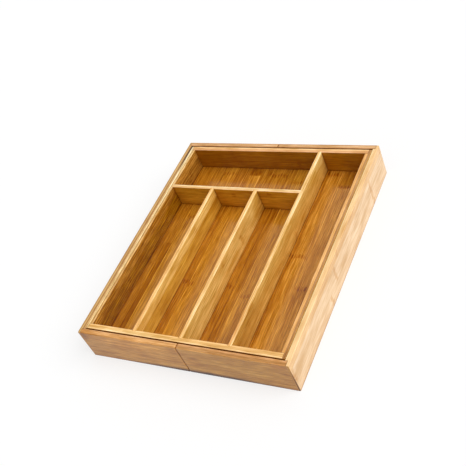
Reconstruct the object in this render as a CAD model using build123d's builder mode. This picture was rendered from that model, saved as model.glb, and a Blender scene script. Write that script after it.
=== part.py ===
from build123d import *

import os

# Expandable bamboo cutlery tray, closed. A five-compartment centre tray stands on the floors of
# two U-shaped drawers that wrap round it and meet at the middle of the front and of the rear.
# The right drawer slides out along +X and the left one along -X. Each runs on two guides that are
# let into the centre tray's walls and reach into stopped grooves in the drawer's walls.
# Millimetres. The origin is on the table under the middle of the closed tray, and +Y is the rear.

# Outside of the closed tray
tray_width = 295.0
tray_depth = 350.0
tray_height = 49.0

# Boards
drawer_wall = 7.0
centre_wall = 7.5
divider_thickness = 5.5
drawer_floor_thickness = 4.0
centre_floor_thickness = 5.0

# Rounding of every sanded edge
arris = 0.7

# Lip that a side wall keeps outside its rabbets, over the ends of the front and rear walls
corner_lip = 3.5

# Air between pieces that slide past each other, and between those that meet when the drawers close
slide_gap = 1.5
running_gap = 0.4
side_gap = 0.5
seam_gap = 0.5

# How far the walls reach below the floors that they carry
drawer_foot = 4.0
centre_foot = 2.1

# Grooves that hold the floors, and slots that hold the ends of the dividers
floor_housing = 3.0
floor_play = 0.3
divider_housing = 2.0
divider_play = 0.1

# Equal columns across the width, and one crosswise compartment at the rear
column_count = 4
rear_compartment = 71.0

# Guides, and the stopped grooves that they run in
guide_length = 28.0
guide_height = 5.0
guide_inset = 6.5
guide_bury = 2.5
guide_reach = 3.0
guide_glue = 0.1
guide_play = 0.4
stop_play = 0.25
stop_wood = 5.0

# Every cut runs past the face that it opens by this much
overrun = 2.0

# Plan of the frames, measured from the middle of the tray
half_width = tray_width / 2
half_depth = tray_depth / 2
centre_half_width = half_width - drawer_wall - side_gap
centre_half_depth = half_depth - drawer_wall - slide_gap
inside_half_width = centre_half_width - centre_wall
inside_half_depth = centre_half_depth - centre_wall
seam_end = seam_gap / 2

# How far the floors reach into their grooves, from the walls' inner and outer faces
floor_reach = floor_housing - floor_play
floor_inset = drawer_wall - floor_reach

# Heights above the table
drawer_floor_top = drawer_foot + drawer_floor_thickness
centre_base = drawer_floor_top + running_gap
centre_floor_base = centre_base + centre_foot
centre_floor_top = centre_floor_base + centre_floor_thickness
guide_centre = (centre_floor_top + tray_height) / 2

# Dividers: the long one closes the last column, and the short ones end at the cross divider
divider_count = column_count - 1
column_width = (2 * inside_half_width - divider_count * divider_thickness) / column_count
first_place = column_width + divider_thickness / 2 - inside_half_width
divider_places = [first_place + i * (column_width + divider_thickness) for i in range(divider_count)]
*short_places, long_place = divider_places
cross_place = inside_half_depth - rear_compartment - divider_thickness / 2
divider_height = tray_height - centre_floor_top
divider_tenon = divider_housing - divider_play

# Guides along X, and how far a drawer slides before its stops meet them
guide_outer = centre_half_width - guide_inset
guide_inner = guide_outer - guide_length
groove_inner = seam_end + stop_wood
groove_outer = guide_outer + stop_play
drawer_travel = guide_inner - stop_play - groove_inner

# Turn about Z that takes a wall to the opposite side
HALF_TURN = (0, 0, 180)


def frame_ring(half_across, half_deep, thickness, base, floor_base, floor_thickness, start=None):
    """All the walls of a frame as one ring, with a groove for the floor along its inside.

    With start, it is the U that lies to the right of there and ends in two half walls.
    """
    with BuildPart() as ring:
        with BuildSketch(Plane.XY.offset(base)):
            RectangleRounded(2 * half_across, 2 * half_deep, 2 * arris)
            Rectangle(2 * (half_across - thickness), 2 * (half_deep - thickness), mode=Mode.SUBTRACT)
            if start is not None:
                with Locations((start, 0)):
                    Rectangle(
                        half_across,
                        2 * half_deep,
                        align=(Align.MIN, Align.CENTER),
                        mode=Mode.INTERSECT,
                    )
        extrude(amount=tray_height - base)
        eased = ring.edges().group_by(Axis.Z)[-1]
        if start is not None:
            eased += ring.edges().filter_by(Axis.Z).group_by(Axis.X)[0]
        fillet(eased, radius=arris)
        with BuildSketch(Plane.XY.offset(floor_base)):
            Rectangle(
                2 * (half_across - thickness + floor_housing),
                2 * (half_deep - thickness + floor_housing),
            )
        extrude(amount=floor_thickness, mode=Mode.SUBTRACT)
    return ring.part


def front_board(ring, half_across, half_deep, thickness):
    """Front wall of a ring: the straight board between the lips of the side walls."""
    with BuildPart() as wall:
        add(ring)
        with BuildSketch():
            with Locations((0, -half_deep)):
                Rectangle(2 * (half_across - corner_lip), thickness, align=(Align.CENTER, Align.MIN))
        extrude(amount=tray_height, mode=Mode.INTERSECT)
    return wall.part


def side_board(ring, half_across, half_deep, thickness):
    """Right wall of a ring, with a rabbet at each end for the board that it meets there."""
    rabbet_side = half_across - corner_lip
    with BuildPart() as wall:
        add(ring)
        with BuildSketch():
            with Locations((half_across, 0)):
                Rectangle(thickness, 2 * half_deep, align=(Align.MAX, Align.CENTER))
            with Locations((rabbet_side, half_deep), (rabbet_side, -half_deep)):
                Rectangle(
                    thickness,
                    2 * thickness,
                    align=(Align.MAX, Align.CENTER),
                    mode=Mode.SUBTRACT,
                )
        extrude(amount=tray_height, mode=Mode.INTERSECT)
    return wall.part


def divider_slots(*places, across=False):
    """Plan of the slots for dividers' ends, each centred on the face that it is cut into."""
    size = (divider_thickness, 2 * divider_housing)
    with BuildSketch(Plane.XY.offset(centre_floor_top)) as slots:
        with Locations(*places):
            Rectangle(*(reversed(size) if across else size))
    return slots.sketch


def board(low, high, base, thickness):
    """Flat board between two corners in plan."""
    (left, front), (right, rear) = low, high
    with BuildPart() as flat:
        with BuildSketch(Plane.XY.offset(base)):
            with Locations(((left + right) / 2, (front + rear) / 2)):
                Rectangle(right - left, rear - front)
        extrude(amount=thickness)
    return flat.part


def divider_board(low, high):
    """Divider between two corners in plan, standing on the centre floor, with its top edges eased."""
    with BuildPart() as divider:
        add(board(low, high, centre_floor_top, divider_height))
        fillet(divider.edges().group_by(Axis.Z)[-1].sort_by(SortBy.LENGTH)[-2:], radius=arris)
    return divider.part


def guide_slot(plane, inner, outer, height):
    """Round-ended outline of a guide, or of a groove for one, from inner to outer along X."""
    with BuildSketch(plane) as slot:
        with Locations(((inner + outer) / 2, guide_centre)):
            SlotOverall(outer - inner, height)
    return slot.sketch


# Pockets for the guides, in the outer faces of the centre tray's front and rear walls
with BuildPart() as front_right_pocket:
    extrude(
        guide_slot(
            Plane.XZ.offset(centre_half_depth - guide_bury),
            guide_inner - guide_glue,
            guide_outer + guide_glue,
            guide_height + 2 * guide_glue,
        ),
        amount=guide_bury + overrun,
    )

with BuildPart() as guide_pockets:
    add(front_right_pocket)
    mirror(about=Plane.YZ)
    mirror(about=Plane.XZ)

# Stopped groove for a guide, in the inner face of the right drawer's front wall
with BuildPart() as front_right_groove:
    extrude(
        guide_slot(
            Plane.XZ.offset(half_depth - drawer_wall - overrun),
            groove_inner,
            groove_outer,
            guide_height + 2 * guide_play,
        ),
        amount=overrun + guide_reach + guide_play,
    )

# Centre tray: four walls, lapped at the corners
centre_plan = (centre_half_width, centre_half_depth, centre_wall)
centre_ring = frame_ring(*centre_plan, centre_base, centre_floor_base, centre_floor_thickness)

with BuildPart() as centre_front_wall:
    add(front_board(centre_ring, *centre_plan))
    add(guide_pockets, mode=Mode.SUBTRACT)
    extrude(
        divider_slots(*[(place, -inside_half_depth) for place in divider_places]),
        amount=tray_height,
        mode=Mode.SUBTRACT,
    )

with BuildPart() as centre_rear_wall:
    add(front_board(centre_ring, *centre_plan), rotation=HALF_TURN)
    add(guide_pockets, mode=Mode.SUBTRACT)
    extrude(divider_slots((long_place, inside_half_depth)), amount=tray_height, mode=Mode.SUBTRACT)

with BuildPart() as centre_left_wall:
    add(side_board(centre_ring, *centre_plan), rotation=HALF_TURN)
    extrude(
        divider_slots((-inside_half_width, cross_place), across=True),
        amount=tray_height,
        mode=Mode.SUBTRACT,
    )

with BuildPart() as centre_right_wall:
    add(side_board(centre_ring, *centre_plan))

# Centre tray: its floor, held in the grooves of the four walls
with BuildPart() as centre_floor:
    add(
        board(
            (-inside_half_width - floor_reach, -inside_half_depth - floor_reach),
            (inside_half_width + floor_reach, inside_half_depth + floor_reach),
            centre_floor_base,
            centre_floor_thickness,
        )
    )

# Centre tray: the dividers, let into the walls and into each other
long_left_face = long_place - divider_thickness / 2
cross_front_face = cross_place - divider_thickness / 2

with BuildPart() as long_divider:
    add(
        divider_board(
            (long_left_face, -inside_half_depth - divider_tenon),
            (long_left_face + divider_thickness, inside_half_depth + divider_tenon),
        )
    )
    extrude(
        divider_slots((long_left_face, cross_place), across=True),
        amount=tray_height,
        mode=Mode.SUBTRACT,
    )

with BuildPart() as cross_divider:
    add(
        divider_board(
            (-inside_half_width - divider_tenon, cross_front_face),
            (long_left_face + divider_tenon, cross_front_face + divider_thickness),
        )
    )
    extrude(
        divider_slots(*[(place, cross_front_face) for place in short_places]),
        amount=tray_height,
        mode=Mode.SUBTRACT,
    )

short_dividers = {}
for name, place in zip(("left_short_divider", "middle_short_divider"), short_places):
    with BuildPart() as short_divider:
        add(
            divider_board(
                (place - divider_thickness / 2, -inside_half_depth - divider_tenon),
                (place + divider_thickness / 2, cross_front_face + divider_tenon),
            )
        )
    short_dividers[name] = short_divider

# Guide at the front right, glued into its pocket and reaching into the drawer's groove
with BuildPart() as front_right_guide:
    extrude(
        guide_slot(
            Plane.XZ.offset(centre_half_depth - guide_bury),
            guide_inner,
            guide_outer,
            guide_height,
        ),
        amount=guide_bury + slide_gap + guide_reach,
    )

# Right drawer: two half walls that end at the seam, the side wall between them, and the floor
drawer_plan = (half_width, half_depth, drawer_wall)
drawer_ring = frame_ring(*drawer_plan, 0, drawer_foot, drawer_floor_thickness, seam_end)

with BuildPart() as right_drawer_front_wall:
    add(front_board(drawer_ring, *drawer_plan))
    add(front_right_groove, mode=Mode.SUBTRACT)

with BuildPart() as right_drawer_side_wall:
    add(side_board(drawer_ring, *drawer_plan))

with BuildPart() as right_drawer_floor:
    add(
        board(
            (seam_end, floor_inset - half_depth),
            (half_width - floor_inset, half_depth - floor_inset),
            drawer_foot,
            drawer_floor_thickness,
        )
    )


def mirrored(piece, *planes):
    """Mirror image of a piece about each plane in turn."""
    image = piece.part
    for plane in planes:
        with BuildPart() as reflection:
            mirror(image, about=plane)
        image = reflection.part
    with BuildPart() as whole:
        add(image)
    return whole


# The rear is the mirror image of the front, and the left drawer that of the right one
pieces = {
    "centre_front_wall": centre_front_wall,
    "centre_rear_wall": centre_rear_wall,
    "centre_left_wall": centre_left_wall,
    "centre_right_wall": centre_right_wall,
    "centre_floor": centre_floor,
    "long_divider": long_divider,
    "cross_divider": cross_divider,
    **short_dividers,
    "front_right_guide": front_right_guide,
    "rear_right_guide": mirrored(front_right_guide, Plane.XZ),
    "front_left_guide": mirrored(front_right_guide, Plane.YZ),
    "rear_left_guide": mirrored(front_right_guide, Plane.XZ, Plane.YZ),
    "right_drawer_front_wall": right_drawer_front_wall,
    "right_drawer_rear_wall": mirrored(right_drawer_front_wall, Plane.XZ),
    "right_drawer_side_wall": right_drawer_side_wall,
    "right_drawer_floor": right_drawer_floor,
    "left_drawer_front_wall": mirrored(right_drawer_front_wall, Plane.YZ),
    "left_drawer_rear_wall": mirrored(right_drawer_front_wall, Plane.XZ, Plane.YZ),
    "left_drawer_side_wall": mirrored(right_drawer_side_wall, Plane.YZ),
    "left_drawer_floor": mirrored(right_drawer_floor, Plane.YZ),
}

os.makedirs("parts", exist_ok=True)
for name, piece in pieces.items():
    piece.part.label = name
    export_step(piece.part, f"parts/{name}.step")

print(f"Columns are {column_width:.3f} wide, and dividers stand at {divider_places} and {cross_place:.3f}")
print(f"The centre floor's top is at {centre_floor_top:.2f}, and each drawer slides {drawer_travel:.2f}")
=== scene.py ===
"""Bamboo cutlery tray: the finish of its boards, the studio and the camera.

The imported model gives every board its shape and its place. This script dresses each board as the
laminate that it is: strips side by side on its faces, plies across its rims, fibres along its
length, and a node wherever the culm had one.
"""

import logging
import math
from dataclasses import dataclass
from enum import Enum
from functools import partial, reduce

import bpy
from mathutils import Matrix, Vector


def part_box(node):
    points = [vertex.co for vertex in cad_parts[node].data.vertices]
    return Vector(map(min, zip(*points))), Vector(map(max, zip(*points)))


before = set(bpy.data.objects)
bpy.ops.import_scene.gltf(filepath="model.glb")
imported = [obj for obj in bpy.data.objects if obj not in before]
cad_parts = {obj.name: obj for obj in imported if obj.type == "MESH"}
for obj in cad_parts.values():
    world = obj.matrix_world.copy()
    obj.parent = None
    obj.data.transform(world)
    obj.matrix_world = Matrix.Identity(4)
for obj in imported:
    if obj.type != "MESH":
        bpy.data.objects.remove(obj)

LOG = logging.getLogger("cutlery_tray")
MILLIMETRES = 1000.0
WHITE = (1.0, 1.0, 1.0, 1.0)

Colour = tuple[float, ...]
Stops = list[tuple[float, Colour]]
Socket = bpy.types.NodeSocket


class Axis(Enum):
    """Axes of the tray: X to the right, Y to the rear and Z up."""

    X = 0
    Y = 1
    Z = 2


class Side(Enum):
    """The side that a drawer slides out to."""

    RIGHT = "right"
    LEFT = "left"


class Face(Enum):
    """A face of a wall, as its direction seen from the middle of the tray."""

    OUTER = 1.0
    INNER = -1.0


@dataclass(frozen=True)
class Shade:
    """A colour, as its red, green and blue from 0 to 255 on a screen."""

    red: float
    green: float
    blue: float

    @property
    def linear(self) -> Colour:
        """The colour as the shaders take it, opaque."""
        light = [self._decode(value / 255.0) for value in (self.red, self.green, self.blue)]
        return (light[0], light[1], light[2], 1.0)

    @staticmethod
    def _decode(value: float) -> float:
        """Turns a screen value from 0 to 1 into an amount of light."""
        knee, slope, lift, power = 0.04045, 12.92, 0.055, 2.4
        return value / slope if value <= knee else ((value + lift) / (1.0 + lift)) ** power


class Value:
    """An output of a node, on which Python's own sums add the Math nodes that they need."""

    def __init__(self, graph: "Graph", socket: Socket) -> None:
        """Holds an output socket and its graph."""
        self.graph = graph
        self.socket = socket

    def __add__(self, other: "Term") -> "Value":
        """Adds a term."""
        return self.graph.math("ADD", self, other)

    def __sub__(self, other: "Term") -> "Value":
        """Takes a term away."""
        return self.graph.math("SUBTRACT", self, other)

    def __rsub__(self, other: float) -> "Value":
        """Takes the value away from a number."""
        return self.graph.math("SUBTRACT", other, self)

    def __mul__(self, other: "Term") -> "Value":
        """Multiplies by a term."""
        return self.graph.math("MULTIPLY", self, other)

    def __truediv__(self, other: "Term") -> "Value":
        """Divides by a term."""
        return self.graph.math("DIVIDE", self, other)

    def __abs__(self) -> "Value":
        """Drops the sign."""
        return self.graph.math("ABSOLUTE", self)

    def stretch(self, low: float, high: float, smooth: bool = True) -> "Value":
        """Maps the value to 0 at low and 1 at high, which may be below low, with eased ends if smooth."""
        kind = "SMOOTHSTEP" if smooth else "LINEAR"
        return self.graph.value("MapRange", self, low, high, interpolation_type=kind)


Term = Value | Socket | float


class Graph:
    """Adds nodes to one node tree and joins them."""

    def __init__(self, tree: bpy.types.NodeTree) -> None:
        """Starts on the tree of a material, a world or a group."""
        self.tree = tree

    @classmethod
    def blank(cls, owner: bpy.types.Material | bpy.types.World) -> "Graph":
        """Empties the tree of a material or a world, and starts on it.

        Args:
            owner: the material or the world.

        Returns:
            The graph.
        """
        owner.use_nodes = True
        owner.node_tree.nodes.clear()
        return cls(owner.node_tree)

    def add(self, kind: str, *sources: object, **settings: object) -> bpy.types.Node:
        """Adds a node.

        Args:
            kind: the node's type, without the ShaderNode that its name starts with.
            *sources: what its first inputs get, in order.
            **settings: the node's own properties.

        Returns:
            The new node.
        """
        node = self.tree.nodes.new("ShaderNode" + kind)
        for name, setting in settings.items():
            setattr(node, name, setting)
        for target, source in zip(node.inputs, sources):
            self.feed(target, source)
        return node

    def fill(self, node: bpy.types.Node, sources: dict[str, object]) -> bpy.types.Node:
        """Feeds a node's inputs by name.

        Args:
            node: the node.
            sources: what each named input gets.

        Returns:
            The node.
        """
        for name, source in sources.items():
            self.feed(node.inputs[name], source)
        return node

    def feed(self, target: Socket, source: object) -> None:
        """Joins a source to an input, or sets the input to it.

        Args:
            target: the input.
            source: a value or an output, which are joined, or a plain number, vector or colour.
        """
        if isinstance(source, Value):
            source = source.socket
        if isinstance(source, Socket):
            self.tree.links.new(source, target)
        else:
            target.default_value = source

    def value(self, kind: str, *sources: object, **settings: object) -> Value:
        """Adds a node and gives its first output."""
        return Value(self, self.add(kind, *sources, **settings).outputs[0])

    def math(self, operation: str, *terms: Term, clamp: bool = False) -> Value:
        """Works out an operation, and keeps its result from 0 to 1 if it is to be clamped."""
        return self.value("Math", *terms, operation=operation, use_clamp=clamp)

    def most(self, *terms: Term) -> Value:
        """Gives the largest of some terms."""
        return reduce(partial(self.math, "MAXIMUM"), terms)

    def least(self, *terms: Term) -> Value:
        """Gives the smallest of some terms."""
        return reduce(partial(self.math, "MINIMUM"), terms)

    def vector(self, x: Term, y: Term, z: Term) -> Socket:
        """Joins three terms into a vector."""
        return self.add("CombineXYZ", x, y, z).outputs[0]

    def vector_math(self, operation: str, *terms: object) -> Socket:
        """Works out an operation that gives a vector."""
        return self.add("VectorMath", *terms, operation=operation).outputs[0]

    def split(self, source: object, kind: str = "XYZ") -> list[Value]:
        """Takes a vector apart, or a colour where the kind is Color."""
        return [Value(self, part) for part in self.add("Separate" + kind, source).outputs]

    def noise(self, where: Socket, detail: float = 1.0, roughness: float = 0.5) -> Value:
        """Adds smooth noise, mostly from 0.3 to 0.7.

        Args:
            where: place in the noise, in its own cells.
            detail: how many finer octaves are added.
            roughness: how strong the finer octaves are.

        Returns:
            The noise.
        """
        node = self.add("TexNoise", where, noise_dimensions="3D")
        self.fill(node, {"Scale": 1.0, "Detail": detail, "Roughness": roughness})
        return Value(self, node.outputs["Fac"])

    def mix(self, share: Term, low: object, high: object, blend: str = "MIX") -> Socket:
        """Mixes two colours.

        Args:
            share: how much of the second one shows.
            low: the first colour.
            high: the second colour.
            blend: how the second is laid over the first.

        Returns:
            The mixed colour.
        """
        node = self.add("Mix", share, data_type="RGBA", blend_type=blend)
        colours = [socket for socket in node.inputs if socket.type == "RGBA"]
        self.feed(colours[0], low)
        self.feed(colours[1], high)
        return next(socket for socket in node.outputs if socket.type == "RGBA")

    def tint(self, wood: Socket, tint: object, mask: Term = 1.0) -> Socket:
        """Lays a tint over the wood where a mask shows it."""
        return self.mix(mask, wood, tint, blend="MULTIPLY")

    def steps(self, where: Term, stops: Stops) -> bpy.types.Node:
        """Adds a ramp of plain steps.

        Args:
            where: place on the ramp, from 0 to 1.
            stops: where each step starts, and its colour.

        Returns:
            The ramp's node.
        """
        node = self.add("ValToRGB", where)
        ramp = node.color_ramp
        ramp.interpolation = "CONSTANT"
        ramp.elements.remove(ramp.elements[1])
        for index, (place, colour) in enumerate(stops):
            element = ramp.elements[0] if index == 0 else ramp.elements.new(place)
            element.position = place
            element.color = colour
        return node


class Effect:
    """A shader node group with named inputs and outputs, which several materials share."""

    title = ""
    inputs: dict[str, str] = {}
    outputs: tuple[str, ...] = ()

    @classmethod
    def draw(cls, graph: Graph, given: list[Value]) -> dict[str, Value]:
        """Builds what the group does.

        Args:
            graph: the group's nodes.
            given: its inputs in order.

        Returns:
            Its outputs by name.
        """
        raise NotImplementedError

    @classmethod
    def group(cls) -> bpy.types.NodeTree:
        """Gives the node group, which is built the first time.

        Returns:
            The group's node tree.
        """
        found = bpy.data.node_groups.get(cls.title)
        if found is not None:
            return found
        tree = bpy.data.node_groups.new(cls.title, "ShaderNodeTree")
        for name, kind in cls.inputs.items():
            tree.interface.new_socket(name, in_out="INPUT", socket_type="NodeSocket" + kind)
        for name in cls.outputs:
            tree.interface.new_socket(name, in_out="OUTPUT", socket_type="NodeSocketFloat")
        entry = tree.nodes.new("NodeGroupInput")
        way_out = tree.nodes.new("NodeGroupOutput")
        graph = Graph(tree)
        graph.fill(way_out, cls.draw(graph, [Value(graph, entry.outputs[name]) for name in cls.inputs]))
        return tree

    @classmethod
    def place(cls, graph: Graph, *sources: object) -> dict[str, Value]:
        """Puts the group into a material, feeds its inputs in order and gives its outputs by name."""
        node = graph.add("Group", *sources, node_tree=cls.group())
        return {name: Value(graph, node.outputs[name]) for name in cls.outputs}


class FibreGrain(Effect):
    """The figure that runs along a board, from broad clouds of tone down to single fibres."""

    title = "fibre_grain"
    inputs = {"Along": "Float", "Across": "Float", "Depth": "Float", "Seed": "Float"}
    outputs = ("Clouds", "Streaks", "Lines", "Fibres", "Contours")
    sizes = {
        "Clouds": (12.0, 45.0),
        "Streaks": (1.6, 48.0),
        "Lines": (1.3, 70.0),
        "Fibres": (0.8, 16.0),
    }
    noise_range, line_range, roughness = (0.28, 0.72), (0.56, 0.7), 0.6
    bend_length, bend_width = 130.0, 3.0
    contour_width, contour_length, contour_step, contour_swing = 13.0, 75.0, 6.0, 3.5

    @classmethod
    def draw(cls, graph: Graph, given: list[Value]) -> dict[str, Value]:
        """Builds layers of noise, each with its width and its length in millimetres.

        Args:
            graph: the group's nodes.
            given: its inputs in order.

        Returns:
            Its outputs by name.
        """
        along, across, depth, seed = given
        bend = graph.noise(graph.vector(along / cls.bend_length, seed, across / cls.bend_length))
        swayed = across + (bend - 0.5) * (2.0 * cls.bend_width)
        made = {}
        for name, (width, length) in cls.sizes.items():
            cell = graph.vector(swayed / width, depth / width + seed, along / length)
            layer = graph.noise(cell, detail=2.0, roughness=cls.roughness)
            if name == "Lines":
                made[name] = layer.stretch(*cls.line_range)
            else:
                made[name] = layer.stretch(*cls.noise_range, smooth=False)
        place = graph.vector(across / cls.contour_width, depth + seed, along / cls.contour_length)
        turn = across / cls.contour_step + graph.noise(place) * cls.contour_swing
        made["Contours"] = graph.math("SINE", turn * (2.0 * math.pi)) * 0.5 + 0.5
        return made


class CulmNode(Effect):
    """The knuckle of a bamboo culm, at one place along a strip and again at every pitch.

    Each pair of lengths says how far off a mark starts to show and where it shows in full.
    """

    title = "culm_node"
    inputs = {"Along": "Float", "Across": "Float", "Place": "Float", "Pitch": "Float"}
    outputs = ("Dashes", "Crests", "Band", "Tail")
    dash_pitch, dash_width, dash_length, scatter = 4.4, (1.5, 0.5), (4.29, 2.31), 3.0
    least_weight, weight_range = 0.3, 1.6
    crest_width, crest_length = (1.2, 2.0), (15.0, 2.5)
    band_length, tail_length = (4.5, 0.0), (-80.0, -2.5)
    bend_width, bend_length = 11.0, 24.0
    wander_width, wander = 9.0, 5.0

    @classmethod
    def draw(cls, graph: Graph, given: list[Value]) -> dict[str, Value]:
        """Builds dark dashes side by side, pale crests between them, a soft band and a tail of streaks.

        Args:
            graph: the group's nodes.
            given: its inputs in order.

        Returns:
            Its outputs by name.
        """
        along, across, place, pitch = given
        turns = (along - place) / pitch
        wander = graph.noise(graph.vector(across / cls.wander_width, place, 0.0)) - 0.5
        gap = (turns - graph.math("ROUND", turns)) * pitch + wander * (2.0 * cls.wander)
        bend = graph.noise(graph.vector(across / cls.bend_width, place, along / cls.bend_length))
        columns = across / cls.dash_pitch + bend
        column = graph.math("FLOOR", columns)
        aside = abs(columns - column - 0.5) * cls.dash_pitch
        luck = graph.value("TexWhiteNoise", graph.vector(column, place, 0.0), noise_dimensions="2D")
        reach = abs(gap + (luck * (2.0 * cls.scatter) - cls.scatter))
        weight = graph.math("MULTIPLY_ADD", luck, cls.weight_range, cls.least_weight, clamp=True)
        return {
            "Dashes": aside.stretch(*cls.dash_width) * reach.stretch(*cls.dash_length) * weight,
            "Crests": aside.stretch(*cls.crest_width) * abs(gap).stretch(*cls.crest_length),
            "Band": abs(gap).stretch(*cls.band_length),
            "Tail": graph.math("LESS_THAN", gap, 0.0) * gap.stretch(*cls.tail_length),
        }


class EasedEdge(Effect):
    """The rounded edge between two faces: paler where sanding has bared the wood, and a painted highlight.
    """

    title = "eased_edge"
    inputs = {"Normal": "Vector"}
    outputs = ("Mask",)
    turn = (0.995, 0.85)

    @classmethod
    def draw(cls, graph: Graph, given: list[Value]) -> dict[str, Value]:
        """Finds where the surface faces none of the three axes."""
        sizes = (abs(part) for part in graph.split(given[0]))
        return {"Mask": graph.most(*sizes).stretch(*cls.turn)}


class LapLine(Effect):
    """How far the surface is from the stepped joint at a frame's corner.

    The end of the front or rear board stands in a rabbet of the side board, behind its outer lip.
    """

    title = "lap_line"
    inputs = {"Place": "Vector", "Run x": "Float", "Run y": "Float", "Thickness": "Float", "Lip": "Float"}
    outputs = ("Distance",)

    @classmethod
    def draw(cls, graph: Graph, given: list[Value]) -> dict[str, Value]:
        """Measures the way to the lip's inner side and to the rabbet's shoulder, and takes the shorter.

        Args:
            graph: the group's nodes.
            given: its inputs in order.

        Returns:
            Its outputs by name.
        """
        place, run_x, run_y, thickness, lip = given
        x, y, _ = graph.split(place)
        from_side = run_x - abs(x)
        past_lip = from_side - lip
        past_board = run_y - abs(y) - thickness
        lip_side = graph.most(abs(past_lip), past_board)
        shoulder = graph.most(abs(past_board), past_lip * -1.0, from_side - thickness)
        return {"Distance": graph.least(lip_side, shoulder)}


class ContactLine(Effect):
    """How far the surface is from the outline of a board that meets it."""

    title = "contact_line"
    inputs = {"Place": "Vector", "Middle": "Vector", "Half": "Vector"}
    outputs = ("Distance",)

    @classmethod
    def draw(cls, graph: Graph, given: list[Value]) -> dict[str, Value]:
        """Measures the way to the other board's box, from outside and from inside alike.

        Args:
            graph: the group's nodes.
            given: its inputs in order.

        Returns:
            Its outputs by name.
        """
        place, middle, half = given
        offset = graph.vector_math("ABSOLUTE", graph.vector_math("SUBTRACT", place, middle))
        past = graph.split(graph.vector_math("SUBTRACT", offset, half))
        return {"Distance": abs(graph.most(*past))}


class SoftPatch(Effect):
    """A soft round or long patch about a place."""

    title = "soft_patch"
    inputs = {"Place": "Vector", "Middle": "Vector", "Half": "Vector"}
    outputs = ("Mask",)
    fade = (1.0, 0.3)

    @classmethod
    def draw(cls, graph: Graph, given: list[Value]) -> dict[str, Value]:
        """Fades from the patch's middle to its reach along each axis.

        Args:
            graph: the group's nodes.
            given: its inputs in order.

        Returns:
            Its outputs by name.
        """
        place, middle, half = given
        offset = graph.vector_math("DIVIDE", graph.vector_math("SUBTRACT", place, middle), half)
        length = graph.add("VectorMath", offset, operation="LENGTH").outputs["Value"]
        return {"Mask": Value(graph, length).stretch(*cls.fade)}


class GlueSeam(Enum):
    """How the glue line before a strip looks, as the tint that it lays over the strip."""

    DARK = (0.55, 0.42, 0.26, 1.0)
    PALE = (1.35, 1.55, 2.2, 1.0)
    FAINT = (0.9, 0.85, 0.75, 1.0)


@dataclass(frozen=True)
class Strip:
    """One bamboo strip on the face of a board.

    Attributes:
        start: where the strip begins across the board, in millimetres in the tray's frame.
        shade: its colour.
        node: where a node lies along the board, in millimetres in the tray's frame.
        pitch: how far the next node is.
        strength: how plain its nodes are, from 0 to 1.
        seam: the glue line at its start.
        butt: where the strip ends and the next length of it begins, in millimetres along the board.
        beyond: the shade of that next length.
    """

    start: float
    shade: Shade
    node: float
    pitch: float = 200.0
    strength: float = 1.0
    seam: GlueSeam = GlueSeam.FAINT
    butt: float = 0.0
    beyond: Shade | None = None


@dataclass(frozen=True)
class Ply:
    """One ply of a board, as its rim shows it.

    Attributes:
        share: its share of the board's thickness.
        shade: its colour.
    """

    share: float
    shade: Shade


@dataclass(frozen=True)
class Figure:
    """How strongly each part of the bamboo's figure shows, from 0 to about 1.

    Attributes:
        clouds: broad soft changes of tone.
        streaks: streaks a few millimetres wide.
        lines: thin dark lines, which change the tone but hardly the hue.
        fibres: single fibres, which do the same.
        contours: the wavy contours of wood that is cut along its face.
        dashes: the dark dashes of a node.
        crests: the pale wood between them.
        band: the soft band of a node.
        tail: how much the streaks grow below a node.
        rim: how much of the clouds and streaks shows on the rims.
        dark: tint of the darkest clouds, streaks and contours.
        pale: tint of the palest ones.
        fine_dark: tint of the darkest fibres and lines.
        fine_pale: tint of the palest ones.
    """

    clouds: float = 0.3
    streaks: float = 0.75
    lines: float = 0.8
    fibres: float = 0.6
    contours: float = 0.0
    dashes: float = 0.9
    crests: float = 0.5
    band: float = 0.2
    tail: float = 1.0
    rim: float = 1.0
    dark: Colour = (0.67, 0.5, 0.05, 1.0)
    pale: Colour = (1.33, 1.5, 1.95, 1.0)
    fine_dark: Colour = (0.76, 0.67, 0.4, 1.0)
    fine_pale: Colour = (1.24, 1.31, 1.65, 1.0)


FLAT_SAWN = Figure(
    streaks=0.8, lines=0.8, fibres=1.05, dashes=0.95, band=0.6, tail=0.6,
    dark=(0.68, 0.53, 0.0, 1.0), pale=(1.32, 1.47, 2.5, 1.0),
    fine_dark=(0.72, 0.62, 0.2, 1.0), fine_pale=(1.28, 1.36, 2.4, 1.0),
)
QUIET = Figure(
    clouds=0.55, streaks=0.5, lines=0.5, fibres=0.75, contours=0.15,
    dashes=0.8, crests=0.2, band=0.7, tail=0.3,
)
PALE_FACE = Figure(
    clouds=1.0, streaks=0.2, lines=0.05, fibres=0.15, contours=0.25,
    dashes=0.15, crests=0.1, band=0.9, tail=0.1,
    dark=(0.8, 0.71, 0.54, 1.0), pale=(1.13, 1.24, 1.42, 1.0),
)
RUGGED = Figure(
    clouds=0.5, streaks=1.5, lines=1.6, fibres=1.2, dashes=1.0, crests=0.6, band=0.4, tail=0.6, rim=0.35,
    pale=(1.2, 1.3, 1.5, 1.0),
    fine_dark=(0.52, 0.42, 0.2, 1.0), fine_pale=(1.34, 1.42, 1.7, 1.0),
)
DRAWER_FACE = Figure(
    clouds=0.6, streaks=0.4, lines=0.5, fibres=1.2, contours=0.2,
    dashes=0.5, crests=0.2, band=0.5, tail=0.3,
)


@dataclass(frozen=True)
class Patch:
    """A soft patch of darker, paler or stained wood; some patches are painted shade.

    Attributes:
        middle: its middle, in millimetres in the tray's frame.
        half: how far it reaches along each axis.
        tint: the tint in its middle.
    """

    middle: tuple[float, float, float]
    half: tuple[float, float, float]
    tint: tuple[float, float, float]


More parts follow.
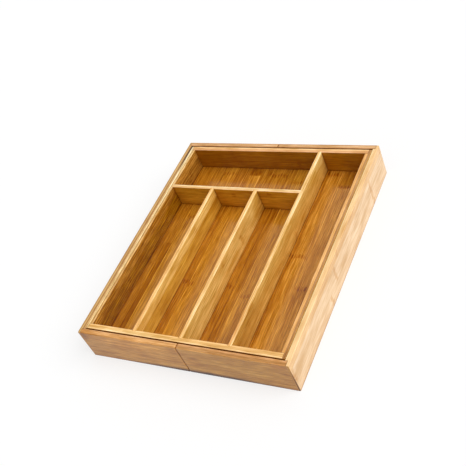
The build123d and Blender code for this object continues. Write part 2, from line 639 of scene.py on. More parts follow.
@dataclass(frozen=True)
class Lacquer:
    """The satin lacquer.

    Attributes:
        index: its refractive index.
        roughness: where it lies on smooth wood.
        fibre_roughness: how much rougher it is between fibres.
        relief: height of the fibres that show through it, in millimetres.
    """

    index: float = 1.42
    roughness: float = 0.19
    fibre_roughness: float = 0.1
    relief: float = 0.012


@dataclass(frozen=True)
class Lap:
    """The corners of a frame, where its front and rear boards stand behind the side boards' lips.

    Attributes:
        run_x: half the frame's width, in millimetres.
        run_y: half its depth.
        thickness: thickness of its boards.
        lip: thickness of the lips.
        width: how wide the joint line is.
    """

    run_x: float
    run_y: float
    thickness: float
    lip: float = 3.5
    width: float = 0.6


@dataclass(frozen=True)
class Laminate:
    """How a board is laid up.

    Attributes:
        grain: the axis that its fibres run along.
        across: the axis that its strips lie side by side along.
        strips: the strips of its face, in order.
        plies: the plies of its rim, in order along the third axis.
        figure: how its figure shows.
        seed: what sets its figure apart from the other boards'.
        lap: the corners of the frame that it belongs to, if it does.
        lacquer: its surface.
        table: whether its foot stands on the table, which gives it a painted shade there.
        open_end: whether it ends at the seam in the middle, which gives it a painted highlight and shade.
        gap_shaded: which face slides past another board, if one does; it gets a painted shade below the
            rim.
        end: the shade of its end grain.
        calm_beyond: how much of its figure is lost beyond its butt joints, from 0 to 1.
        patches: its patches of darker, paler or stained wood, and of painted shade.
    """

    grain: Axis
    across: Axis
    strips: tuple[Strip, ...]
    plies: tuple[Ply, ...]
    figure: Figure = FLAT_SAWN
    seed: float = 0.0
    lap: Lap | None = None
    lacquer: Lacquer = Lacquer()
    table: bool = False
    open_end: bool = False
    gap_shaded: Face | None = None
    end: Shade = Shade(200, 138, 52)
    calm_beyond: float = 0.0
    patches: tuple[Patch, ...] = ()

    @property
    def depth(self) -> Axis:
        """The axis through the board's thickness."""
        return next(axis for axis in Axis if axis not in (self.grain, self.across))


# What the marks of the wood, its painted shade and its painted highlights multiply its colour by.
NODE_TINT = (0.6, 0.41, 0.0, 1.0)
CREST_TINT = (1.18, 1.26, 1.6, 1.0)
BAND_TINT = (0.86, 0.72, 0.52, 1.0)
EDGE_TINT = (1.1, 1.16, 1.3, 1.0)
PLY_TINT = (0.8, 0.7, 0.5, 1.0)
LINE_TINT = (0.3, 0.2, 0.1, 1.0)
BROWN_TINT = (0.48, 0.3, 0.06, 1.0)
SOFT_TINT = (0.82, 0.69, 0.4, 1.0)


def tinted(colour: Colour, tint: Colour) -> Colour:
    """Multiplies two colours."""
    return tuple(part * strength for part, strength in zip(colour, tint))


@dataclass(frozen=True)
class Mark:
    """A line, a painted shade or a painted highlight beside some place on a board.

    Attributes:
        tint: the tint that it lays over the wood.
        strength: how strongly it does so, from 0 to 1.
        start: how far from the place it starts to show, in millimetres.
        full: how far from the place it shows in full.
    """

    tint: Colour
    strength: float
    start: float
    full: float

    def laid(self, graph: Graph, wood: Socket, distance: Value, shown: Term = 1.0) -> Socket:
        """Lays the mark over the wood, by the distance from its place and how much of it is shown."""
        mask = distance.stretch(self.start, self.full) * shown
        return graph.tint(wood, self.tint, mask * self.strength)


# Painted shade in the corners where boards meet; CONTACT_LINE darkens a thin line along each joint.
CONTACT_SHADE = Mark(SOFT_TINT, 0.6, start=4.0, full=0.0)
CONTACT_LINE = Mark(LINE_TINT, 0.5, start=1.1, full=0.2)
# Painted shade below the rim, where a drawer slides past the centre tray.
GAP_SHADE = Mark(BROWN_TINT, 0.9, start=4.0, full=0.7)
# Painted shade at the foot of a wall that stands on the table.
FOOT_SHADE = Mark(BROWN_TINT, 0.5, start=3.2, full=0.2)

# Marks at the drawers' seam by place along X: a painted highlight beside it and painted shade along it.
SEAM_MARKS = {
    -2.0: Mark(EDGE_TINT, 1.0, start=1.3, full=0.3),
    0.6: Mark(BROWN_TINT, 0.6, start=2.2, full=0.3),
}

# Widths and lengths in millimetres.
GLUE_LINE = 0.8
PLY_LINE = 0.3
BUTT_WIDTH = 0.6
LONGEST_PITCH = 400.0
LAP_CORE = 0.1

# How much of a mark shows.
EDGE_STRENGTH = 0.6
LAP_ON_FACE, LAP_ON_RIM = 0.15, 0.6

# How squarely a surface has to face a way, where that begins to count and where it counts in full.
RIM_TURN = (0.6, 0.8)
FACE_TURN = (0.5, 0.75)


@dataclass(frozen=True)
class Surface:
    """What a material reads of the place that it colours.

    Attributes:
        place: the place, as a vector in millimetres.
        along: the place along the grain.
        across: the place across the strips.
        depth: the place through the board.
        outward: 1 where the surface faces away from the middle of the tray, and -1 towards it.
        rim: 1 on the board's edges, which show its plies, and 0 elsewhere.
        ends: 1 on its ends, which show its end grain, and 0 elsewhere.
        face: 1 on its faces, and 0 elsewhere.
        normal: the direction that the surface faces.
    """

    place: Socket
    along: Value
    across: Value
    depth: Value
    outward: Value
    rim: Value
    ends: Value
    face: Value
    normal: Socket


class Board:
    """A packed board and its own bamboo material."""

    def __init__(self, node: str, laminate: Laminate, meets: tuple[str, ...] = ()) -> None:
        """Names the board and its lay-up.

        Args:
            node: the board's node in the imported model.
            laminate: how it is laid up.
            meets: the nodes of the boards that stand against it.
        """
        self.node = node
        self.laminate = laminate
        self.meets = meets
        low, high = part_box(node)
        self.low = low * MILLIMETRES
        self.high = high * MILLIMETRES

    def dress(self) -> None:
        """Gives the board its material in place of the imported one."""
        material = self._material()
        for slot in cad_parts[self.node].material_slots:
            slot.material = material
        LOG.info("%s is dressed as %d strips", self.node, len(self.laminate.strips))

    def _extent(self, axis: Axis) -> tuple[float, float]:
        """Gives the board's lowest place along an axis and its size there."""
        return self.low[axis.value], self.high[axis.value] - self.low[axis.value]

    def _share(self, place: Value, axis: Axis) -> Value:
        """Maps a place along an axis to its share of the board's size."""
        low, size = self._extent(axis)
        return place.stretch(low, low + size, smooth=False)

    def _starts(self) -> list[tuple[float, Strip]]:
        """Pairs each strip with the share of the board's breadth at which it starts."""
        low, size = self._extent(self.laminate.across)
        return [(max(0.0, (strip.start - low) / size), strip) for strip in self.laminate.strips]

    def _face_stops(self) -> Stops:
        """Gives the steps of the face: a glue line and a strip, over and over.

        Returns:
            The steps.
        """
        _, size = self._extent(self.laminate.across)
        stops = []
        for start, strip in self._starts():
            colour = strip.shade.linear
            stops.append((start, tinted(colour, strip.seam.value) if start else colour))
            stops.append((start + GLUE_LINE / size, colour))
        return stops

    def _node_stops(self) -> Stops:
        """Gives each strip's node place, pitch and strength as a red, a green and a blue share.

        Returns:
            The steps.
        """
        return [
            (start, (strip.node / strip.pitch % 1.0, strip.pitch / LONGEST_PITCH, strip.strength, 1.0))
            for start, strip in self._starts()
        ]

    def _butt_stops(self) -> Stops:
        """Gives each strip's shade beyond its butt joint, with the joint's place as its alpha.

        Returns:
            The steps.
        """
        near, length = self._extent(self.laminate.grain)
        stops = []
        for start, strip in self._starts():
            shade = strip.beyond or strip.shade
            place = (strip.butt - near) / length if strip.beyond else 1.0
            stops.append((start, (*shade.linear[:3], place)))
        return stops

    def _rim_stops(self) -> Stops:
        """Gives the steps of the rim: the plies from the low side to the high side.

        Returns:
            The steps.
        """
        _, size = self._extent(self.laminate.depth)
        stops, start = [], 0.0
        for ply in self.laminate.plies:
            colour = ply.shade.linear
            if start:
                stops.append((start - PLY_LINE / size, tinted(colour, PLY_TINT)))
            stops.append((start, colour))
            start += ply.share
        return stops

    def _surface(self, graph: Graph) -> Surface:
        """Reads the place and the direction of the surface.

        Args:
            graph: the material's nodes.

        Returns:
            What it reads.
        """
        layup = self.laminate
        where = graph.add("TexCoord").outputs
        place = graph.vector_math("MULTIPLY", where["Object"], (MILLIMETRES,) * 3)
        places, facing = graph.split(place), graph.split(where["Normal"])
        depth = places[layup.depth.value]
        rim, ends = (abs(facing[axis.value]).stretch(*RIM_TURN) for axis in (layup.across, layup.grain))
        return Surface(
            place=place,
            along=places[layup.grain.value],
            across=places[layup.across.value],
            depth=depth,
            outward=facing[layup.depth.value] * graph.math("SIGN", depth),
            rim=rim,
            ends=ends,
            face=1.0 - graph.most(rim, ends),
            normal=where["Normal"],
        )

    def _bare_wood(self, graph: Graph, surface: Surface) -> tuple[Socket, Value]:
        """Colours the faces by their strips, the rims by their plies, and the ends.

        Args:
            graph: the material's nodes.
            surface: what the material reads of the place.

        Returns:
            The colour, and how much of the board's figure shows on it.
        """
        layup = self.laminate
        across = self._share(surface.across, layup.across)
        face = graph.steps(across, self._face_stops()).outputs["Color"]
        shown = surface.rim * (layup.figure.rim - 1.0) + 1.0
        if any(strip.beyond for strip in layup.strips):
            lengths = graph.steps(across, self._butt_stops()).outputs
            _, length = self._extent(layup.grain)
            past = self._share(surface.along, layup.grain) - lengths["Alpha"]
            joint = past.stretch(-BUTT_WIDTH / length, BUTT_WIDTH / length)
            face = graph.mix(joint, face, lengths["Color"])
            shown = shown * (joint * -layup.calm_beyond + 1.0)
        plies = graph.steps(self._share(surface.depth, layup.depth), self._rim_stops())
        wood = graph.mix(surface.rim, face, plies.outputs["Color"])
        return graph.mix(surface.ends, wood, layup.end.linear), shown

    def _knuckles(self, graph: Graph, surface: Surface) -> dict[str, Value]:
        """Places the culm nodes of each strip.

        Args:
            graph: the material's nodes.
            surface: what the material reads of the place.

        Returns:
            The masks of their marks by name.
        """
        told = graph.steps(self._share(surface.across, self.laminate.across), self._node_stops())
        turn, pitch, strength = graph.split(told.outputs["Color"], "Color")
        pitch, shown = pitch * LONGEST_PITCH, strength * surface.face
        marks = CulmNode.place(graph, surface.along, surface.across, turn * pitch, pitch)
        return {name: mark * shown for name, mark in marks.items()}

    def _joints(self, graph: Graph, surface: Surface, wood: Socket) -> Socket:
        """Lays the board's joint lines, its painted shade, the painted highlight at the seam, and its
        patches.

        Args:
            graph: the material's nodes.
            surface: what the material reads of the place.
            wood: the colour so far.

        Returns:
            The colour with its lines, painted shade, painted highlight and patches.
        """
        layup, lap = self.laminate, self.laminate.lap
        distances = []
        for node in self.meets:
            low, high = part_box(node)
            middle, half = (low + high) / 2 * MILLIMETRES, (high - low) / 2 * MILLIMETRES
            distances.append(ContactLine.place(graph, surface.place, middle, half)["Distance"])
        if distances:
            distance = graph.least(*distances)
            # Painted shade in the corners where the board meets others, and a dark line along each joint.
            wood = CONTACT_SHADE.laid(graph, wood, distance, surface.face)
            wood = CONTACT_LINE.laid(graph, wood, distance, surface.face)
        if lap is not None:
            sizes = (lap.run_x, lap.run_y, lap.thickness, lap.lip)
            gap = LapLine.place(graph, surface.place, *sizes)["Distance"]
            shown = surface.rim * (LAP_ON_RIM - LAP_ON_FACE) + LAP_ON_FACE
            wood = Mark(LINE_TINT, 1.0, lap.width, LAP_CORE).laid(graph, wood, gap, shown)
        # Painted shade below the rim, on the face beside the gap where a drawer slides.
        if layup.gap_shaded is not None:
            side = (surface.outward * layup.gap_shaded.value).stretch(*FACE_TURN)
            wood = GAP_SHADE.laid(graph, wood, self.high[layup.across.value] - surface.across, side)
        # Painted shade at the foot, where the board stands on the table.
        if layup.table:
            wood = FOOT_SHADE.laid(graph, wood, surface.across)
        # A painted highlight on the edge beside the seam, and painted shade along the seam.
        if layup.open_end:
            for place, mark in SEAM_MARKS.items():
                wood = mark.laid(graph, wood, abs(surface.along - place))
        for patch in layup.patches:
            mask = SoftPatch.place(graph, surface.place, patch.middle, patch.half)["Mask"]
            wood = graph.tint(wood, (*patch.tint, 1.0), mask)
        return wood

    def _material(self) -> bpy.types.Material:
        """Builds the board's material.

        Returns:
            The material.
        """
        layup, figure, lacquer = self.laminate, self.laminate.figure, self.laminate.lacquer
        material = bpy.data.materials.new(self.node + "_bamboo")
        graph = Graph.blank(material)
        surface = self._surface(graph)
        wood, shown = self._bare_wood(graph, surface)
        marks = self._knuckles(graph, surface)

        grain = FibreGrain.place(graph, surface.along, surface.across, surface.depth, layup.seed)
        level = {name: layer - 0.5 for name, layer in grain.items()}
        growth = marks["Tail"] * figure.tail + 1.0
        broad = level["Streaks"] * growth * figure.streaks + level["Clouds"] * figure.clouds
        broad = broad + level["Contours"] * figure.contours
        broad = graph.math("MULTIPLY_ADD", broad, shown, 0.5, clamp=True)
        wood = graph.tint(wood, graph.mix(broad, figure.dark, figure.pale))
        lines = grain["Lines"] * growth * (surface.face * shown)
        fine = level["Fibres"] * figure.fibres + 0.5
        fine = graph.math("MULTIPLY_ADD", lines, -figure.lines, fine, clamp=True)
        wood = graph.tint(wood, graph.mix(fine, figure.fine_dark, figure.fine_pale))
        wood = graph.tint(wood, BAND_TINT, marks["Band"] * figure.band)
        wood = graph.tint(wood, CREST_TINT, marks["Crests"] * figure.crests)
        wood = graph.tint(wood, NODE_TINT, marks["Dashes"] * figure.dashes)
        # Paler rounded edges: partly sanded wood, partly a painted highlight.
        edge = EasedEdge.place(graph, surface.normal)["Mask"]
        wood = graph.tint(wood, EDGE_TINT, edge * EDGE_STRENGTH)
        wood = self._joints(graph, surface, wood)

        bump = graph.fill(graph.add("Bump"), {
            "Strength": 1.0,
            "Distance": lacquer.relief / MILLIMETRES,
            "Height": level["Fibres"] + level["Streaks"] - marks["Dashes"],
        })
        shader = graph.fill(graph.add("BsdfPrincipled"), {
            "Base Color": wood,
            "Roughness": level["Fibres"] * lacquer.fibre_roughness + lacquer.roughness,
            "IOR": lacquer.index,
            "Normal": bump.outputs["Normal"],
        })
        graph.add("OutputMaterial", shader.outputs[0])
        return material


BUTTER = Shade(252, 197, 115)
PALE_BUTTER = Shade(254, 208, 136)
CREAM = Shade(253, 201, 124)
BRIGHT_CREAM = Shade(255, 214, 148)
MILK = Shade(252, 205, 140)
PALE_MILK = Shade(253, 219, 158)
PEACH = Shade(240, 201, 150)
APRICOT = Shade(236, 187, 123)
PINK_CREAM = Shade(231, 171, 109)
HONEY = Shade(240, 180, 98)
STRAW = Shade(231, 186, 98)
PALE_GOLD = Shade(220, 176, 90)
GOLD = Shade(207, 158, 71)
OCHRE = Shade(205, 152, 51)
FAWN = Shade(202, 140, 54)
TAN = Shade(208, 148, 80)
BRIGHT_AMBER = Shade(216, 149, 30)
PALE_AMBER = Shade(207, 141, 34)
RIPE_AMBER = Shade(204, 142, 34)
AMBER = Shade(200, 134, 24)
DEEP_AMBER = Shade(184, 118, 18)
BURNT_AMBER = Shade(165, 98, 4)
UMBER = Shade(165, 110, 15)
BROWN = Shade(168, 108, 14)
BROWN_OCHRE = Shade(171, 118, 40)

# Heights of the centre floor's upper side and of the rims, in millimetres.
FLOOR, RIM = 15.5, 49.0

# Painted shade of the gap beside the left drawer, as a dark line on the rims of both boards.
LEFT_GAP_SHADE = Patch((-140.6, 168, RIM), (1.8, 76, 3), (0.12, 0.06, 0))


def laid_strips(*strips: tuple[float, Shade, float, float]) -> tuple[Strip, ...]:
    """Lays the strips of a board, each by its start, shade, node place and node strength."""
    return tuple(Strip(start, shade, node, strength=strength) for start, shade, node, strength in strips)


@dataclass(frozen=True)
class CentreTray:
    """The divided tray in the middle, which stands still.

    Attributes:
        foot: height of its walls' lower edge, in millimetres.
        run_x: half its outside width.
        run_y: half its outside depth.
        wall: thickness of its walls.
        walls: the nodes of its walls.
        dividers: the nodes of its dividers.
    """

    foot: float = 8.4
    run_x: float = 140.0
    run_y: float = 166.5
    wall: float = 7.5
    walls: tuple[str, ...] = tuple(f"centre_{side}_wall" for side in ("front", "rear", "left", "right"))
    dividers: tuple[str, ...] = (
        "long_divider", "cross_divider", "left_short_divider", "middle_short_divider",
    )

    def boards(self) -> list[Board]:
        """Lays up the tray's boards."""
        return [*self._walls(), self._floor(), *self._dividers(), *self._guides()]

    def _walls(self) -> list[Board]:
        """Lays up the four walls.

        Returns:
            The boards.
        """
        foot, lap = self.foot, Lap(self.run_x, self.run_y, self.wall)
        inside_x, inside_y = self.run_x - self.wall, self.run_y - self.wall
        crosswise = partial(Laminate, Axis.X, Axis.Z, figure=QUIET, lap=lap, gap_shaded=Face.OUTER)
        lengthwise = partial(Laminate, Axis.Y, Axis.Z, figure=QUIET, lap=lap)
        layups = {
            "front": crosswise(
                laid_strips((foot, UMBER, 60, 1), (30, AMBER, -40, 1)),
                (Ply(0.33, Shade(252, 205, 132)), Ply(0.36, Shade(234, 182, 102)), Ply(0.31, CREAM)),
                seed=1,
                patches=(
                    Patch((-70, -163, RIM), (85, 6, 2.5), (1.05, 1.13, 1.28)),
                    Patch((90, -163, RIM), (90, 6, 2.5), (0.93, 0.9, 0.88)),
                ),
            ),
            "rear": crosswise(
                laid_strips((foot, BROWN, 30, 0.6), (33, BROWN, -70, 0.3)),
                (Ply(0.55, PINK_CREAM), Ply(0.45, Shade(246, 194, 124))),
                seed=2,
                patches=(
                    Patch((-105, inside_y, 35), (38, 2, 25), (0.88, 0.86, 1)),
                    Patch((101, inside_y, 32), (34, 2, 26), (1.04, 1.11, 1.25)),
                ),
            ),
            "left": lengthwise(
                (
                    Strip(foot, UMBER, 120, strength=0.6, butt=82, beyond=BROWN_OCHRE),
                    Strip(26, UMBER, -73, butt=82, beyond=BROWN_OCHRE),
                    Strip(36, Shade(185, 127, 44), -20, strength=0.5, butt=82, beyond=Shade(199, 143, 60)),
                ),
                (
                    Ply(0.5, Shade(255, 220, 158)),
                    Ply(0.2, Shade(210, 160, 88)),
                    Ply(0.3, Shade(240, 190, 116)),
                ),
                figure=RUGGED, seed=3, calm_beyond=0.75,
                patches=(
                    LEFT_GAP_SHADE,
                    Patch((-136.3, 130, RIM), (6, 150, 2.5), (1.14, 1.32, 1.75)),
                    # The next three patches are painted shade: near the cross divider, and along the wall's
                    # foot at the floor.
                    Patch((-inside_x, 68, 28), (2, 24, 30), (0.86, 0.84, 0.9)),
                    Patch((-inside_x, -120, 16.5), (2, 60, 4), (0.84, 0.7, 0.5)),
                    Patch((-inside_x, 121, 16.5), (2, 34, 4), (0.86, 0.76, 0.7)),
                ),
            ),
            "right": lengthwise(
                laid_strips((foot, GOLD, -20, 1), (30, OCHRE, 80, 1)),
                (Ply(0.6, Shade(236, 175, 98)), Ply(0.4, Shade(186, 132, 72))),
                seed=4,
                patches=(
                    Patch((138.5, 130, RIM), (3, 45, 2), (1.08, 1.16, 1.2)),
                    Patch((136, 30, RIM), (4, 45, 2), (1.07, 1.13, 1.22)),
                ),
            ),
        }
        meets = ("centre_floor", *self.dividers)
        return [Board(f"centre_{side}_wall", layup, meets) for side, layup in layups.items()]

    def _floor(self) -> Board:
        """Lays up the floor, whose strips run from front to rear.

        Returns:
            The board.
        """
        pale, dark = GlueSeam.PALE, GlueSeam.DARK
        strips = (
            Strip(-134.2, DEEP_AMBER, -30, strength=0.3),
            Strip(-121.5, BURNT_AMBER, -127, strength=0.5, seam=pale, butt=8, beyond=DEEP_AMBER),
            Strip(-112, AMBER, 60, strength=0.6, seam=pale, butt=84, beyond=DEEP_AMBER),
            Strip(-91.5, AMBER, 146, strength=0.6, seam=dark),
            Strip(-68, DEEP_AMBER, -52, pitch=270),
            Strip(-53.5, AMBER, -57, pitch=230, seam=pale, butt=84, beyond=DEEP_AMBER),
            Strip(-47.5, AMBER, 152, pitch=400, strength=0.4, butt=144, beyond=BURNT_AMBER),
            Strip(-38.5, BRIGHT_AMBER, 149, pitch=400, strength=0.6, butt=144, beyond=BURNT_AMBER),
            Strip(-29.5, AMBER, 40, strength=0.4, seam=pale, butt=84, beyond=DEEP_AMBER),
            Strip(-20, DEEP_AMBER, -54, strength=0.8),
            Strip(13.5, DEEP_AMBER, 93, pitch=400, seam=dark),
            Strip(26, AMBER, -67, strength=0.7, seam=pale),
            Strip(46, DEEP_AMBER, 5, pitch=150),
            Strip(75, PALE_AMBER, 3, pitch=147),
            Strip(96, PALE_AMBER, -47, pitch=174, seam=pale, butt=127, beyond=DEEP_AMBER),
            Strip(118, AMBER, 60),
        )
        streaks = tuple(
            Patch((middle, rear - length, FLOOR), (1.3, length, 2), (0.68, 0.54, 0.2))
            for middle, rear, length in ((15.6, 90, 26), (21.3, 88, 16), (25.2, 88, 15), (19.5, -95, 22))
        )
        seams = tuple(
            Patch((middle, 131, FLOOR), (2, 14, 2), (1.25, 1.36, 2.1))
            for middle in (-54, -29, 18)
        )
        laminate = Laminate(
            Axis.Y, Axis.X, strips, (Ply(1, AMBER),), figure=FLAT_SAWN, seed=5,
            patches=(
                *streaks,
                Patch((-90, 134, FLOOR), (1.6, 15, 2), (0.7, 0.56, 0.2)),
                Patch((-33, 114, FLOOR), (8, 36, 2), (0.76, 0.7, 0.6)),
                Patch((-55, 137, FLOOR), (44, 22, 2), (0.97, 0.91, 1.1)),
                *seams,
            ),
        )
        return Board("centre_floor", laminate, (*self.walls, *self.dividers))

    def _dividers(self) -> list[Board]:
        """Lays up the long, the crosswise and the two short dividers.

        Returns:
            The boards.
        """
        plies = (Ply(0.5, BUTTER), Ply(0.5, PALE_BUTTER))
        lengthwise = partial(Laminate, Axis.Y, Axis.Z, plies=plies, figure=QUIET)
        # Where the right faces of these dividers lie along X.
        left_face, middle_face, long_face = -64.9, 2.8, 70.4
        layups = {
            "long_divider": lengthwise(
                laid_strips((FLOOR, GOLD, 33, 0.7), (25, GOLD, -120, 0.3), (38, PALE_GOLD, 100, 0.3)),
                seed=6,
                patches=(
                    Patch((long_face, -150, 44), (2, 95, 30), (0.76, 0.64, 0.42)),
                    Patch((long_face, 135, 44), (2, 70, 14), (1.22, 1.34, 1.8)),
                    Patch((long_face, 0, 24), (2, 180, 12), (1.05, 1.05, 1.08)),
                    Patch((66, -150, RIM), (4, 60, 2), (0.93, 0.8, 0.7)),
                    Patch((66, 60, RIM), (4, 130, 2), (1.07, 1.17, 1.4)),
                ),
            ),
            "cross_divider": Laminate(
                Axis.X, Axis.Z,
                laid_strips(
                    (FLOOR, RIPE_AMBER, 64, 0.3), (35, RIPE_AMBER, -36, 0.8), (42, RIPE_AMBER, 17.5, 0.8),
                ),
                (Ply(0.5, MILK), Ply(0.5, PALE_MILK)), figure=QUIET, seed=7,
                patches=(Patch((-100, 82.5, 32), (32, 2, 22), (1.13, 1.22, 1.3)),),
            ),
            "left_short_divider": lengthwise(
                laid_strips((FLOOR, OCHRE, 90, 0.3), (36, STRAW, 13, 0.3)),
                seed=8,
                patches=(
                    Patch((left_face, -150, 44), (2, 70, 14), (0.88, 0.78, 0.6)),
                    Patch((-67.6, -120, RIM), (2.6, 100, 2), (0.9, 0.78, 0.6)),
                    # Painted shade near the cross divider.
                    Patch((left_face, 76, 30), (2, 28, 30), (0.88, 0.8, 0.6)),
                ),
            ),
            "middle_short_divider": lengthwise(
                laid_strips(
                    (FLOOR, PALE_GOLD, 112, 0.3), (21, PALE_GOLD, 12, 0.8), (38, PALE_GOLD, -42, 0.6),
                ),
                seed=9,
                patches=(
                    Patch((middle_face, -20, 44), (2, 130, 12), (1.1, 1.1, 1.2)),
                    Patch((middle_face, -20, 24), (2, 130, 12), (1.07, 1.05, 1.06)),
                    # Painted shade near the cross divider.
                    Patch((middle_face, 76, 30), (2, 28, 30), (0.88, 0.78, 0.52)),
                ),
            ),
        }
        meets = ("centre_floor", *self.walls, *self.dividers)
        return [
            Board(node, layup, tuple(other for other in meets if other != node))
            for node, layup in layups.items()
        ]

    def _guides(self) -> list[Board]:
        """Lays up the four guides that the drawers run on.

        Returns:
            The boards.
        """
        strips = (Strip(29, HONEY, 0, strength=0),)
        return [
            Board(f"{place}_guide", Laminate(Axis.X, Axis.Z, strips, (Ply(1, HONEY),), seed=10 + count))
            for count, place in enumerate(("front_right", "rear_right", "front_left", "rear_left"))
        ]


@dataclass(frozen=True)
class Drawer:
    """A drawer round one end of the centre tray.

    Attributes:
        side: the side that it slides out to.
        seed: what sets the figure of its boards apart from the others'.
        front_rim: the plies of its front wall, from the outer face inwards.
        side_rim: the plies of its side wall, from the low side to the high side.
        front_patches: the patches on its front wall.
        side_patches: the patches on its side wall.
        run_x: half the closed tray's width, in millimetres.
        run_y: half its depth.
        wall: thickness of its walls.
    """

    side: Side
    seed: float
    front_rim: tuple[Ply, ...]
    side_rim: tuple[Ply, ...]
    front_patches: tuple[Patch, ...]
    side_patches: tuple[Patch, ...]
    run_x: float = 147.5
    run_y: float = 175.0
    wall: float = 7.0

    def boards(self) -> list[Board]:
        """Lays up the drawer's boards.

        Returns:
            The boards.
        """
        lap = Lap(self.run_x, self.run_y, self.wall, width=0.8)
        name = self.side.value + "_drawer_"
        half_wall = partial(
            Laminate, Axis.X, Axis.Z,
            figure=DRAWER_FACE, lap=lap, table=True, open_end=True, gap_shaded=Face.INNER,
        )
        layups = {
            "front_wall": half_wall(
                laid_strips((0, FAWN, 30, 0.5), (17, FAWN, -60, 0.3), (38, FAWN, 90, 0.3)),
                self.front_rim,
                seed=self.seed,
                patches=self.front_patches,
            ),
            "rear_wall": half_wall(
                laid_strips((0, FAWN, 60, 0.5), (17, FAWN, -30, 0.5), (39, FAWN, 10, 0.5)),
                (
                    Ply(0.4, Shade(211, 154, 93)),
                    Ply(0.3, Shade(225, 178, 118)),
                    Ply(0.3, Shade(201, 143, 77)),
                ),
                seed=self.seed + 1,
            ),
            "side_wall": Laminate(
                Axis.Y, Axis.Z,
                (
                    Strip(0, PEACH, -53, pitch=170),
                    Strip(17, PEACH, -27.8, pitch=145),
                    Strip(39, APRICOT, 170, pitch=180, strength=0.6),
                ),
                self.side_rim,
                figure=PALE_FACE, seed=self.seed + 2, lap=lap, table=True, patches=self.side_patches,
            ),
        }
        walls = tuple(name + part for part in layups)
        floor = Laminate(
            Axis.Y, Axis.X,
            laid_strips(
                (-150, AMBER, 118, 0.5), (-131, DEEP_AMBER, -92, 0.7), (-113, AMBER, 21, 0.4),
                (-87, PALE_AMBER, -150, 0.5), (-70, AMBER, 84, 0.8), (-44, DEEP_AMBER, -9, 0.5),
                (-22, AMBER, 60, 0.6), (14, PALE_AMBER, -128, 0.5), (39, AMBER, 47, 0.7),
                (58, DEEP_AMBER, -66, 0.6), (83, AMBER, 131, 0.4), (101, PALE_AMBER, 5, 0.6),
                (127, AMBER, -110, 0.7),
            ),
            (Ply(1, AMBER),),
            figure=FLAT_SAWN, seed=self.seed + 3,
        )
        boards = [Board(name + part, layup) for part, layup in layups.items()]
        return [*boards, Board(name + "floor", floor, walls)]


def direction(azimuth: float, elevation: float) -> Vector:
    """Points from +X towards +Y by an azimuth and up by an elevation, both in degrees."""
    turn, rise = math.radians(azimuth), math.radians(elevation)
    return Vector((math.cos(turn) * math.cos(rise), math.sin(turn) * math.cos(rise), math.sin(rise)))


@dataclass(frozen=True)
class Sun:
    """A soft distant lamp.

    Attributes:
        name: the lamp's name.
        azimuth: where it stands, in degrees from +X towards +Y.
        elevation: how high it stands, in degrees.
        level: how bright it makes a white surface that faces it, where 1 is white.
        spread: how wide it looks, in degrees.
        distance: how far off its holder hangs, in metres, which changes nothing in its light.
    """

    name: str
    azimuth: float
    elevation: float
    level: float
    spread: float
    distance: float = 2.0

    def hang(self) -> None:
        """Makes the lamp."""
        lamp = bpy.data.lights.new(self.name, "SUN")
        lamp.energy = self.level * math.pi
        lamp.angle = math.radians(self.spread)
        holder = bpy.data.objects.new(self.name, lamp)
        towards = direction(self.azimuth, self.elevation)
        holder.rotation_mode = "QUATERNION"
        holder.rotation_quaternion = towards.to_track_quat("Z", "Y")
        holder.location = towards * self.distance
        bpy.context.scene.collection.objects.link(holder)


@dataclass(frozen=True)
class Studio:
    """A white studio: a lamp, an even sky and a plain floor.

    Attributes:
        lamp: the lamp.
        sky: how bright the sky is as it lights the tray, where 1 is white.
        floor_size: half the width of the floor, in metres.
        floor_bounce: the share of light that the floor sends back to the tray.
        floor_glow: how much of its white doesn't depend on the light, so that shadows stay faint.
    """

    lamp: Sun = Sun("key_lamp", azimuth=8.0, elevation=45.0, level=0.6, spread=50.0)
    sky: float = 0.6
    floor_size: float = 6.0
    floor_bounce: float = 0.7
    floor_glow: float = 0.68

    def build(self) -> None:
        """Makes the lamp, the sky and the floor."""
        self.lamp.hang()
        self._sky()
        self._floor()
        bpy.context.scene.view_settings.view_transform = "Standard"
        LOG.info("the studio has a lamp, a sky and a floor")

    def _seen(self, graph: Graph) -> Value:
        """Gives 1 for what the camera sees, straight or in gloss or glass, and 0 for plain light."""
        path = graph.add("LightPath").outputs
        return graph.most(*(path[f"Is {ray} Ray"] for ray in ("Camera", "Glossy", "Transmission")))

    def _sky(self) -> None:
        """Makes a sky that looks white and lights the tray at its own level."""
        world = bpy.data.worlds.new("studio_sky")
        bpy.context.scene.world = world
        graph = Graph.blank(world)
        light = graph.add("Background", WHITE, self._seen(graph) * (1.0 - self.sky) + self.sky)
        graph.add("OutputWorld", light.outputs[0])

    def _floor(self) -> None:
        """Makes the floor, which looks white and sends less light back than it looks."""
        half = self.floor_size
        mesh = bpy.data.meshes.new("studio_floor")
        corners = [(-half, -half, 0.0), (half, -half, 0.0), (half, half, 0.0), (-half, half, 0.0)]
        mesh.from_pydata(corners, [], [(0, 1, 2, 3)])
        floor = bpy.data.objects.new("studio_floor", mesh)
        bpy.context.scene.collection.objects.link(floor)
        material = bpy.data.materials.new("studio_floor")
        graph = Graph.blank(material)
        seen = self._seen(graph)
        low, high = self.floor_bounce, 1.0 - self.floor_glow
        paint = graph.mix(seen, (low, low, low, 1.0), (high, high, high, 1.0))
        plain = graph.add("BsdfDiffuse", paint)
        glow = graph.add("Emission", WHITE, seen * self.floor_glow)
        both = graph.add("AddShader", plain.outputs[0], glow.outputs[0])
        graph.add("OutputMaterial", both.outputs[0])
        mesh.materials.append(material)


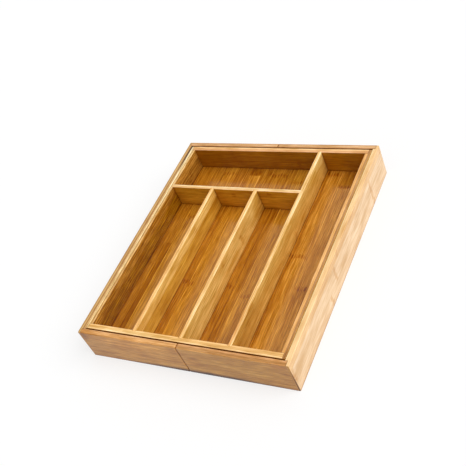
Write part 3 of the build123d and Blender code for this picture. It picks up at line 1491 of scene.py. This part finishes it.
@dataclass(frozen=True)
class PhotoCamera:
    """The camera, where the photographer stood.

    Attributes:
        target: the point on the rims that the middle of the picture shows, in metres.
        distance: how far the camera is from it.
        azimuth: how far the view turns from +Y towards -X, in degrees.
        elevation: how far it looks down.
        roll: how far the picture is turned clockwise.
        lens: focal length in millimetres.
        sensor: width of the sensor in millimetres.
    """

    target: tuple[float, float, float] = (-0.00083, 0.00634, 0.049)
    distance: float = 1.07289
    azimuth: float = 41.931
    elevation: float = 41.671
    roll: float = 26.477
    lens: float = 64.349
    sensor: float = 36.0

    def place(self) -> None:
        """Makes the camera and gives it to the scene."""
        level = direction(self.azimuth, 0.0)
        forward = direction(self.azimuth + 90.0, -self.elevation)
        upright = level.cross(forward)
        turn = math.radians(self.roll)
        right = level * math.cos(turn) - upright * math.sin(turn)
        up = level * math.sin(turn) + upright * math.cos(turn)
        position = Vector(self.target) - forward * self.distance
        axes = Matrix((right, up, -forward)).transposed()
        holder = bpy.data.objects.new("photo_camera", bpy.data.cameras.new("photo_camera"))
        holder.matrix_world = Matrix.Translation(position) @ axes.to_4x4()
        holder.data.sensor_width = self.sensor
        holder.data.lens = self.lens
        bpy.context.scene.collection.objects.link(holder)
        bpy.context.scene.camera = holder
        LOG.info("the camera stands at %s", tuple(round(part, 4) for part in position))


# Where the drawers' front faces lie along Y.
FRONT = -Drawer.run_y

RIGHT_DRAWER = Drawer(
    Side.RIGHT,
    seed=20,
    front_rim=(Ply(0.2, Shade(204, 142, 74)), Ply(0.4, Shade(186, 131, 67)), Ply(0.4, Shade(214, 154, 91))),
    side_rim=(Ply(0.4, BRIGHT_CREAM), Ply(0.6, MILK)),
    front_patches=(
        # Painted shade along the foot of the front face.
        Patch((20, FRONT, 0), (150, 3, 7), (0.2, 0.12, 0.05)),
        Patch((75, FRONT, 25), (95, 3, 32), (1.03, 1.09, 1.08)),
        Patch((118, -171.5, RIM), (36, 4, 2), (1.1, 1.14, 1.25)),
        Patch((28, FRONT, 2), (9, 3, 5), (0.5, 0.4, 0.3)),
        Patch((16, FRONT, 24), (16, 3, 14), (0.82, 0.72, 0.55)),
        Patch((134, FRONT, 44), (18, 3, 6), (0.75, 0.6, 0.42)),
    ),
    side_patches=(Patch((146.9, -175.3, 2), (1.7, 1.3, 58), (0.2, 0.1, 0)),),
)
LEFT_DRAWER = Drawer(
    Side.LEFT,
    seed=30,
    front_rim=(Ply(0.2, TAN), Ply(0.5, Shade(225, 165, 93)), Ply(0.3, Shade(213, 153, 87))),
    side_rim=(
        Ply(0.35, Shade(190, 140, 70)), Ply(0.3, Shade(218, 172, 100)), Ply(0.35, Shade(182, 130, 62)),
    ),
    front_patches=(
        # Painted shade along the foot of the front face.
        Patch((0, FRONT, 0), (115, 3, 7), (0.2, 0.12, 0.05)),
        Patch((-144, FRONT, 42), (12, 3, 15), (0.66, 0.56, 0.36)),
        Patch((-70, FRONT, 41), (85, 3, 15), (1.24, 1.23, 1.2)),
        Patch((-60, FRONT, 20), (80, 3, 20), (1.06, 1.06, 1.06)),
    ),
    side_patches=(LEFT_GAP_SHADE, Patch((-145.4, -172, RIM), (3, 9, 2), (1.12, 1.2, 1.25))),
)


def main() -> None:
    """Dresses the tray, and builds the studio and the camera."""
    logging.basicConfig(level=logging.INFO, format="%(message)s")
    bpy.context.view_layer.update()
    for assembly in (CentreTray(), RIGHT_DRAWER, LEFT_DRAWER):
        for board in assembly.boards():
            board.dress()
    Studio().build()
    PhotoCamera().place()


if __name__ == "__main__":
    main()
